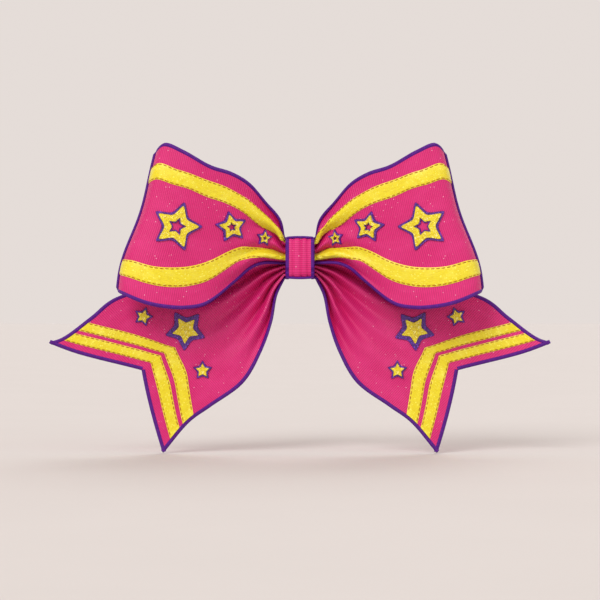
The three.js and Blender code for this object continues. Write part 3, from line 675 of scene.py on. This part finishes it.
def nylon_finish(name):
    """Moulded nylon, faintly mottled and satin where the mould was blasted."""
    f = Finish(name, specular=0.5)
    where = f.place()
    cloud, grain = f.noise(where, 0.3, 3), f.noise(where, 6.0, 3)
    tone = f.mix(f.ramp(cloud, 0.3, 0.7), (244, 242, 235), (231, 228, 218))
    return f.finish(tone, f.ramp(grain, 0.3, 0.7, 0.38, 0.52), grain, 0.02)


def floor_finish(name):
    """Plain pale matt paper."""
    f = Finish(name, specular=0.1)
    where = f.place()
    cloud, grain = f.noise(where, 0.012, 3), f.noise(where, 1.2, 4)
    tone = f.mix(f.ramp(cloud, 0.3, 0.7), (205, 200, 197), (204, 199, 196))
    return f.finish(tone, f.ramp(grain, 0.3, 0.7, 0.85, 0.95), grain, 0.02)


# Each finish is a material and the slot it stands for
PINK = grosgrain("Pink grosgrain", (176, 22, 90), (215, 34, 116), (229, 62, 138)), "pink_ribbon"
YELLOW = satin_tape("Yellow satin", (216, 192, 14), (234, 217, 20), (246, 238, 92)), "yellow_ribbon"
STAR_YELLOW = glitter("Yellow glitter", (206, 176, 14), (236, 217, 26), (252, 244, 140)), "yellow_star"
PURPLE = satin_stitch("Purple satin stitch", (46, 2, 84), (98, 8, 152), (132, 50, 190)), "purple_trim"
STAR_PURPLE = glitter("Purple glitter", (46, 4, 90), (80, 12, 142), (124, 58, 194), 0.1), "purple_trim"
# The amber thread is darker than the yellow tape. Its stitch rows along the tapes' edges are real stitches
# that also stand in for painted shadow lines there.
THREAD = satin_stitch("Amber thread", (150, 70, 24), (206, 118, 40), (232, 170, 90), 0.3), "yellow_ribbon"
FELT_PURPLE = felt_finish("Purple felt", (34, 12, 50), (72, 30, 98), (112, 70, 140)), "purple_felt"
STEEL = steel_finish("Nickel steel"), "nickel_steel"
NYLON = nylon_finish("White nylon"), "white_nylon"


# ---- Baking pieces in place ----

def from_knot(made):
    """Bakes the piece's transform into its mesh."""
    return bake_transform(made)


# ---- Stars ----

def star_ring(size, turn, per_side=7):
    """x and z round a star, with slightly rounded points and corners. size is the radius of its points
    and of its inner corners."""
    corners = [math.radians(turn + 180 / STAR_POINTS * i) for i in range(2 * STAR_POINTS + 1)]
    reach = [size[i % 2] for i in range(2 * STAR_POINTS + 1)]
    share = np.linspace(0, 1, per_side, endpoint=False)
    ring = []
    for a, b, near, far in zip(corners, corners[1:], reach, reach[1:]):
        start, end = near * np.array([math.cos(a), math.sin(a)]), far * np.array([math.cos(b), math.sin(b)])
        ring.append(start + (end - start) * share[:, None])
    ring = np.vstack(ring)
    for _ in range(2):
        ring = 0.5 * ring + 0.25 * (np.roll(ring, 1, 0) + np.roll(ring, -1, 0))
    return ring


def star_part(surface, star, outer, inner, shape):
    """A star laid on a surface, with softened rims. outer is the radius of its points and of its inner
    corners, inner the radius of its hole's points, and shape its two heights and its bevel."""
    cx, cz, _, _, turn, _ = star
    turn = turn if surface.side > 0 else 180 - turn
    hole = inner > 0
    reach = inner if hole else STAR["centre"] * outer[0]
    rim = shape["bevel"] / (outer[0] - reach)
    shares = np.array(sorted([0, rim, 0.25, 0.5, 0.75, 1 - rim, 1]))
    wide, narrow = star_ring(outer, turn), star_ring((reach, reach * WAIST), turn)
    flat = narrow[None] + (wide - narrow)[None] * shares[:, None, None]
    u, v = surface.locate(surface.side * cx + flat[..., 0], cz + flat[..., 1])
    drop = np.zeros(len(shares))
    drop[-1] = STAR["rounded"] * (shape["high"] - shape["low"])
    if hole:
        drop[0] = drop[-1]
    top = surface.at(u, v, FACE + shape["high"] - drop[:, None])
    bottom = surface.at(u, v, FACE + shape["low"])
    points, faces, uv = shell(top, bottom, flat, wrap=True)
    if not hole:
        count, size = len(wide), len(shares) * len(wide)
        del faces[-2 * count:-count]  # the wall round the centre, which two caps close instead
        faces += [list(range(count)), list(range(size, size + count))]
    return points, faces, uv


def add_stars(surface, part, stars):
    made = []
    for size, star in stars.items():
        _, _, radius, hole, _, rim = star
        waist = radius * WAIST
        name = f"{part}_star_{size}"
        backed = radius + rim, waist + BACKING["corner_rim"] * rim
        under = star_part(surface, star, backed, BACKING["hole"] * hole, BACKING)
        over = star_part(surface, star, (radius, waist), hole, STAR)
        backing = piece(f"{name}_backing_trim", [under], STAR_PURPLE)
        face = piece(f"{name}_trim", [over], STAR_YELLOW)
        for shown, node in ((backing, f"{name}_backing"), (face, name)):
            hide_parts(node)
            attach(shown, part)
            made.append(shown)
    return made


# ---- Ribbons ----

def stitches(surface, u, v, margin=STITCH["margin"]):
    """A row of stitches in yellow ribbon along the path u, v, clear of its ends by the margin."""
    distance = travelled(surface.point(u, v))
    count, length = STITCH["points"], STITCH["length"]
    profile = np.array(circle(STITCH["thread"], count)) * (1, STITCH["flatness"])
    swell = np.sin(np.linspace(STITCH["blunt"], math.pi - STITCH["blunt"], count)) ** 0.5
    height = FACE + TRIM - STITCH["dip"] * (1 - swell)
    parts = []
    for start in np.arange(margin, distance[-1] - margin - length, STITCH["pitch"]):
        here = start + np.linspace(0, length, count)
        at = np.interp(here, distance, u), np.interp(here, distance, v)
        centres = surface.at(*at, height)
        normal = surface.normal(*at)
        beside = unit(np.cross(normal, np.gradient(centres, axis=0)))
        parts.append(sweep(centres, beside, normal, profile, scale=swell))
    return parts


def add_tape(surface, name, u, v, rows):
    """A band of yellow ribbon in place of a CAD node, and the rows of stitches that hold it."""
    band = slab(surface, u, v, FACE - TAPE["sunk"], FACE + TRIM, TAPE["crown"])
    tape = piece(f"{name}_tape", [band], YELLOW)
    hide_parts(name)
    # The stitch rows' darker amber also paints shadow lines along the tape's edges.
    return [tape, piece(f"{name}_stitching", sum(rows, []), THREAD)]


def end_piping(surface, part):
    """The cord down the fold at a loop's outer end, thinner towards its two ends."""
    count, radius = PIPING["rows"], PIPING["radius"]
    down = np.linspace(PIPING["free"], 1 - PIPING["free"], count)
    fold = np.full(count, 0.5)
    rows_in = np.minimum(np.arange(count), np.arange(count)[::-1])
    taper = np.clip(PIPING["thinnest"] + rows_in / PIPING["taper_rows"], 0, 1)
    centres = surface.at(fold, down, FACE + PIPING["lift"] * radius * taper)
    along = unit(surface.along(fold, down))
    cord = sweep(centres, along, surface.normal(fold, down), circle(radius, CORD_SIDES), scale=taper)
    return piece(f"{part}_end_piping", [cord], PURPLE)


def add_loop(name, side):
    surface = Loop(side)
    part = f"loop_{name}"
    u = two_spans(surface.first, 0.5, surface.last, 92, 56)
    v = np.linspace(0, 1, 90)
    sheet = piece(f"{part}_ribbon", [slab(surface, u[:, None], v[None, :], -FACE, FACE)], PINK)
    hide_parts(part)

    edgings = []
    for where, line, inwards in (("upper", 0.0, 1), ("lower", 1.0, -1)):
        at = np.full(len(u), line)
        sewn = binding(surface, u, at, inwards * surface.down(u, at))
        edgings.append(piece(f"{part}_edging_{where}_stitched", [sewn], PURPLE))
        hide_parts(f"{part}_edging_{where}")
    piping = end_piping(surface, part)
    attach(piping, part)

    stripes = []
    share, _ = surface.path(u)
    for which, (upper, lower) in STRIPES.items():
        start, end = edge_curve(upper)(share)[1], edge_curve(lower)(share)[1]
        lines = start[:, None] + (end - start)[:, None] * np.linspace(0, 1, 17)
        rows = [stitches(surface, u, start + inset * (end - start), TAPE["clear_of_knot"])
                for inset in (TAPE["inset_share"], 1 - TAPE["inset_share"])]
        stripes += add_tape(surface, f"{part}_stripe_{which}", u[:, None], lines, rows)
    for made in [sheet, *edgings, *stripes]:
        from_knot(made)
    stars = add_stars(surface, part, LOOP_STARS)
    length = surface.lengths(0.5)[1][-1]


def tail_edges(surface):
    """Satin stitches along the tail's two sides and the two lines of its swallow-tail cut."""
    edges = []
    side_u = np.linspace(surface.first, 1, 100)
    for line, sign in ((0.0, 1), (1.0, -1)):
        at = np.full(len(side_u), line)
        edges.append(binding(surface, side_u, at, sign * surface.down(side_u, at)))
    for start, end in ((0, NOTCH["across"]), (NOTCH["across"], 1)):
        line = np.linspace(start, end, 50)
        cut = from_cut(0, line)
        inward = np.cross(surface.normal(cut, line), np.gradient(surface.point(cut, line), axis=0))
        towards_knot = -surface.along(cut, line)
        sign = np.sign((inward * towards_knot).sum(-1, keepdims=True))
        edges.append(binding(surface, cut, line, inward * sign))
    return edges


def add_tail(name, side):
    surface = Tail(side)
    part = f"tail_{name}"
    distances = two_spans(0, CHEVRONS["inner"][1], TAIL_LENGTH, 18, 78)
    v = two_spans(0, NOTCH["across"], 1, 39, 38)
    u = from_cut(distances[:, None], v[None, :])
    root = np.linspace(0, surface.first, 4)[1:, None] + 0 * v[None, :]
    u = np.concatenate([u, root])
    sheet = piece(f"{part}_ribbon", [slab(surface, u, v[None, :], -FACE, FACE)], PINK)
    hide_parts(part)
    edging = piece(f"{part}_edging_stitched", tail_edges(surface), PURPLE)
    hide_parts(f"{part}_edging")

    chevrons = []
    lines = np.linspace(CHEVRON_ENDS, 1 - CHEVRON_ENDS, 75)
    for which, (near, far) in CHEVRONS.items():
        band_u = from_cut(np.linspace(near, far, 11)[None, :], lines[:, None])
        flat_v = np.broadcast_to(lines[:, None], band_u.shape)
        rows = [stitches(surface, from_cut(distance, lines), lines)
                for distance in (near + TAPE["inset"], far - TAPE["inset"])]
        chevrons += add_tape(surface, f"{part}_chevron_{which}", band_u, flat_v, rows)
    for made in (sheet, edging):
        from_knot(made)
    for made in chevrons:
        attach(made, part)
    stars = add_stars(surface, part, TAIL_STARS)


# ---- Knot ----

def rounded(core, radius, per_corner=10, per_side=8):
    """y and z round a convex core, anticlockwise, grown by a radius, with points along its sides too."""
    core = np.array(core, float)
    ring = []
    for i, here in enumerate(core):
        before, after = here - core[i - 1], core[(i + 1) % len(core)] - here
        start, end = (math.atan2(-d[0], d[1]) for d in (before, after))
        end += math.tau if end < start else 0
        angles = np.linspace(start, end, per_corner)
        arc = here + radius * np.stack([np.cos(angles), np.sin(angles)], -1)
        side = np.linspace(0, 1, per_side + 1)[1:-1, None]
        ring += [arc, arc[-1] + after * side]
    return np.vstack(ring)


def wrap_ring(radius):
    """The knot's ring at a radius off its core, with its front face bowed forward."""
    ring = rounded(WRAP_CORE, radius)
    middle = np.mean([WRAP_CORE[0][1], WRAP_CORE[-1][1]])
    bow = np.clip(1 - ((ring[:, 1] - middle) / CROWN["half"]) ** 2, 0, 1)
    ring[:, 0] -= CROWN["height"] * bow * smooth(*CROWN["from_y"], ring[:, 0])
    return ring


def knot_rise(x, around, behind):
    """How far the knot's outside swells off its ring: between creases, and not at all behind."""
    reach = x / KNOT_HALF
    crease = sum(np.exp(-((x - at) / CREASES["width"]) ** 2) for at in CREASES["at"])
    swell = SWELL["middle"] * (1 - reach**2) - SWELL["ends"] * reach**8 - CREASES["depth"] * crease
    ripple = SWELL["ripple"] * np.sin(around * math.tau * SWELL["ripples"])
    return (swell[:, None] + ripple[None, :] * (1 - reach[:, None] ** 4)) * (1 - behind)


def knot_edging(name, side, middle, off, half, perimeter):
    """Satin stitches round one edge of the knot, whose sheet is half thick to either side of its middle."""
    centres = np.column_stack([np.full(len(middle), side * KNOT_HALF), middle])
    into = np.tile([-side, 0.0, 0.0], (len(middle), 1))
    profile = [
        (1.5, half - 0.1), (1.3, half + 0.2), (0.7, half + 0.3), (0.1, half + 0.2), (-0.25, 0.6 * half),
        (-0.35, 0), (-0.25, -0.6 * half), (0.1, -half - 0.1), (1.3, -half - 0.1)]
    ring = sweep(centres, into, off, profile, closed=True)
    return piece(f"knot_edging_{name}_stitched", [ring], PURPLE, round_trip=perimeter)


def knot_piping():
    """The cords across the knot's upper and lower front corners."""
    end = KNOT_HALF - CORNER_CORD["short_of_edge"]
    x = np.linspace(-end, end, 30)
    bulge = WRAP["outside"] + CORNER_CORD["lift"] + CORNER_CORD["bulge"] * (1 - (x / KNOT_HALF) ** 2)
    cords = []
    for (core_y, core_z), lean in ((WRAP_CORE[-1], 1), (WRAP_CORE[0], -1)):
        out_y, out_z = CORNER_CORD["way"][0], CORNER_CORD["way"][1] * lean
        centres = np.column_stack([x, core_y + out_y * bulge, core_z + out_z * bulge])
        first, second = (np.tile(way, (len(x), 1)) for way in ([0, out_y, out_z], [0, -out_z, out_y]))
        cords.append(sweep(centres, first, second, circle(CORNER_CORD["radius"], CORD_SIDES)))
    return piece("knot_piping", cords, PURPLE)


def add_knot():
    x = np.linspace(-KNOT_HALF, KNOT_HALF, 45)
    inner, outer = wrap_ring(WRAP["inside"]), wrap_ring(WRAP["outside"])
    normal = unit(outer - inner)
    behind = smooth(*WRAP["flat_behind"], outer[:, 0])
    rise = knot_rise(x, np.arange(len(outer)) / len(outer), behind)
    ring = outer[None] + normal[None] * rise[..., None]
    columns = np.broadcast_to(x[:, None], rise.shape)
    top = np.concatenate([columns[..., None], ring], -1)
    low = np.concatenate([columns[..., None], np.broadcast_to(inner[None], ring.shape)], -1)
    around = travelled(outer)
    uv = np.stack(np.broadcast_arrays(around[None, :], x[:, None]), -1)
    perimeter = around[-1] + np.linalg.norm(outer[0] - outer[-1])
    wrap = piece("knot_wrap", [shell(top, low, uv, wrap=True)], PINK, round_trip=perimeter)
    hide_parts("center_wrap")

    half = np.linalg.norm(outer[0] - inner[0]) / 2
    off = np.column_stack([np.zeros(len(outer)), normal * (1 - WRAP["thinner_behind"] * behind[:, None])])
    edgings = []
    for name, side in SIDES.items():
        edgings.append(knot_edging(name, side, (inner + outer) / 2, off, half, perimeter))
        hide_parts(f"knot_edging_{name}")
    trims = [*edgings, knot_piping()]
    for made in (wrap, *trims):
        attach(made, "barrette")


def add_bundle():
    """The ribbon folded to and fro inside the knot, as one thin sheet."""
    (y0, y1), (z0, z1) = BUNDLE["y"], BUNDLE["z"]
    folds, margin = BUNDLE["folds"], BUNDLE["margin"]
    t = np.linspace(0, 1, 30 * folds)
    swing = np.sin(math.tau * folds * t)
    swing = BUNDLE["swing"] * np.sign(swing) * np.abs(swing) ** 0.5
    path = np.stack([(y0 + y1) / 2 + (y1 - y0) * swing, z0 + margin + (z1 - z0 - 2 * margin) * t], -1)
    step = np.gradient(path, axis=0)
    off = unit(np.stack([-step[:, 1], step[:, 0]], -1))
    x = np.linspace(-BUNDLE["half"], BUNDLE["half"], 6)
    distance = travelled(path)
    layers = []
    for half in (BUNDLE["thickness"] / 2, -BUNDLE["thickness"] / 2):
        y, z = (path + half * off).T
        layers.append(np.stack(np.broadcast_arrays(x[:, None], y[None, :], z[None, :]), -1))
    uv = np.stack(np.broadcast_arrays(x[:, None], distance[None, :]), -1)
    bundle = piece("ribbon_bundle", [shell(*layers, uv)], PINK)
    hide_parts("pleated_center")
    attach(bundle, "barrette")


# ---- Barrette ----

def smooth_path(points, count):
    """A smooth curve through 3-D points, as count points."""
    known = np.linspace(0, 1, len(points))
    fine = np.linspace(0, 1, count)
    path = np.stack([np.interp(fine, known, points[:, i]) for i in range(3)], -1)
    for _ in range(6):
        path[1:-1] = 0.5 * path[1:-1] + 0.25 * (path[:-2] + path[2:])
    return path


def base_line(x):
    """y of the bowed base's middle line."""
    return BASE["y"] + BASE["rise"] * smooth(BASE["flat_to"], BASE["pad_from"], np.abs(x))


def add_felt():
    half, wide, corner = FELT["half"], FELT["half_width"], FELT["corner"]
    x = np.linspace(-half, half, 150)
    beyond = np.clip((np.abs(x) - (half - corner)) / corner, 0, 1)
    edge = wide - corner * (1 - np.sqrt(1 - FELT["round_ends"] * beyond**2))
    z = edge[:, None] * np.linspace(-1, 1, 29)[None, :]
    columns = np.broadcast_to(x[:, None], z.shape)
    fuzz = FELT["fuzz"] * np.random.default_rng(FELT["seed"]).standard_normal(z.shape)
    rim = np.maximum(np.abs(z) / edge[:, None], np.abs(columns) / half)
    soften = FELT["soften"] * smooth(FELT["soft_from"], 1.0, rim)
    face = base_line(columns) - BASE["steel"] / 2 - FELT["gap"]
    top = np.stack([columns, face - FELT["soften_top"] * soften + fuzz, z], -1)
    below = face - FELT["thickness"] + soften + FELT["fuzz_below"] * fuzz[::-1]
    low = np.stack([columns, below, z], -1)
    felt = piece("felt_pad", [shell(top, low, np.stack([columns, z], -1))], FELT_PURPLE)
    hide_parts("felt_backing")
    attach(felt, "barrette")


def sewing_turn(x, shift):
    """One turn of thread from the felt through a hole of the base at x, over its edge and back down."""
    steel = base_line(x)
    up = steel + BASE["steel"] / 2 + SEW["thread"]
    down = steel - BASE["steel"] / 2 - FELT["gap"] - SEW["into_felt"]
    beside = x + SEW["lean"] * shift
    curve = smooth_path(np.array([
        (x, down, 0.0), (x + 0.3 * shift, steel, 0.1), (x + 0.4 * shift, up, 0.7), (beside, up + 0.05, 2.4),
        (beside, up, 4.4), (beside, steel, 4.95), (beside, down, 4.7)]), 60)
    tangent = unit(np.gradient(curve, axis=0))
    across_x = np.tile([1.0, 0, 0], (len(curve), 1))
    first = unit(across_x - (across_x * tangent).sum(1, keepdims=True) * tangent)
    return sweep(curve, first, np.cross(tangent, first), circle(SEW["thread"], 8))


def add_sewing():
    shifts = [(turn - (SEW["turns"] - 1) / 2) * SEW["spacing"] for turn in range(SEW["turns"])]
    threads = [sewing_turn(side * SEW["x"], shift) for side in SIDES.values() for shift in shifts]
    sewing = piece("barrette_sewing_thread", threads, PURPLE)
    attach(sewing, "barrette")


def finish_hardware():
    """The CAD's steel and nylon keep their shapes: softened corners and finished materials."""
    steel = (
        "barrette_base", "hinge_bracket", "hinge_pin", "rivet_hinge_end", "rivet_catch_end",
        "catch_base", "barrette_arm", "tension_bar", "catch_wing_upper", "catch_wing_lower")
    for name, (material, slot) in {**dict.fromkeys(steel, STEEL), "zip_tie": NYLON}.items():
        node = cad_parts[name]
        node.material_slots[0].material = material
        node.data.shade_smooth()
        node.data.set_sharp_from_angle(angle=math.radians(HARDWARE["sharp_from"]))
        weld = node.modifiers.new("Weld", "WELD")
        weld.merge_threshold = HARDWARE["weld"] * MM
        bevel = node.modifiers.new("Bevel", "BEVEL")
        bevel.width = HARDWARE["bevel"] * MM
        bevel.segments = 2
        bevel.limit_method = "ANGLE"
        bevel.angle_limit = math.radians(HARDWARE["bevel_from"])


# ---- Studio ----

FLOOR = {"reach": 6.0, "below": 0.3 * MM}  # metres
BACKDROP = (229, 220.5, 216)
SUNS = {  # towards the light, its spread in degrees and its strength
    "Key": ((-0.5, -1.0, 0.75), 28, 1.7),
    "Fill": ((0.9, -0.8, 0.2), 60, 0.5),
    "Back": ((0.25, 0.8, 0.75), 40, 0.8),
}
LENS, SENSOR = 135, 36
SHARE_OF_PICTURE = 0.84  # the bow's width in the picture's


def add_floor(lowest):
    reach, level = FLOOR["reach"], lowest.z - FLOOR["below"]
    corners = [(x * reach, y * reach, level) for x, y in ((-1, -1), (1, -1), (1, 1), (-1, 1))]
    mesh = bpy.data.meshes.new("Floor")
    mesh.from_pydata(corners, [], [(0, 1, 2, 3)])
    mesh.materials.append(floor_finish("Pale paper"))
    floor = add_object("Floor", mesh)


def add_light(centre):
    world = bpy.data.worlds.new("Studio")
    world.use_nodes = True
    backdrop = world.node_tree.nodes["Background"].inputs
    backdrop["Color"].default_value = linear(*BACKDROP)
    backdrop["Strength"].default_value = 1.0
    bpy.context.scene.world = world
    bpy.context.scene.view_settings.view_transform = "Standard"
    for name, (way, spread, strength) in SUNS.items():
        light = bpy.data.lights.new(name, "SUN")
        light.angle, light.energy = math.radians(spread), strength
        lamp = add_object(name, light)
        lamp.location = centre + Vector(way)
        lamp.rotation_euler = (-Vector(way)).to_track_quat("-Z", "Y").to_euler()


def add_camera(centre, width):
    camera = bpy.data.cameras.new("Camera")
    camera.lens, camera.sensor_width = LENS, SENSOR
    view = add_object("Camera", camera)
    distance = width / SHARE_OF_PICTURE * LENS / SENSOR
    view.location = (centre.x, centre.y - distance, centre.z)
    view.rotation_euler = (math.radians(90), 0, 0)
    bpy.context.scene.camera = view


for label, sign_of_x in SIDES.items():
    add_loop(label, sign_of_x)
    add_tail(label, sign_of_x)
add_bundle()
add_knot()
add_felt()
add_sewing()
finish_hardware()

low_corner, high_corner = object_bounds()
add_floor(low_corner)
add_light((low_corner + high_corner) / 2)
add_camera((low_corner + high_corner) / 2, high_corner.x - low_corner.x)
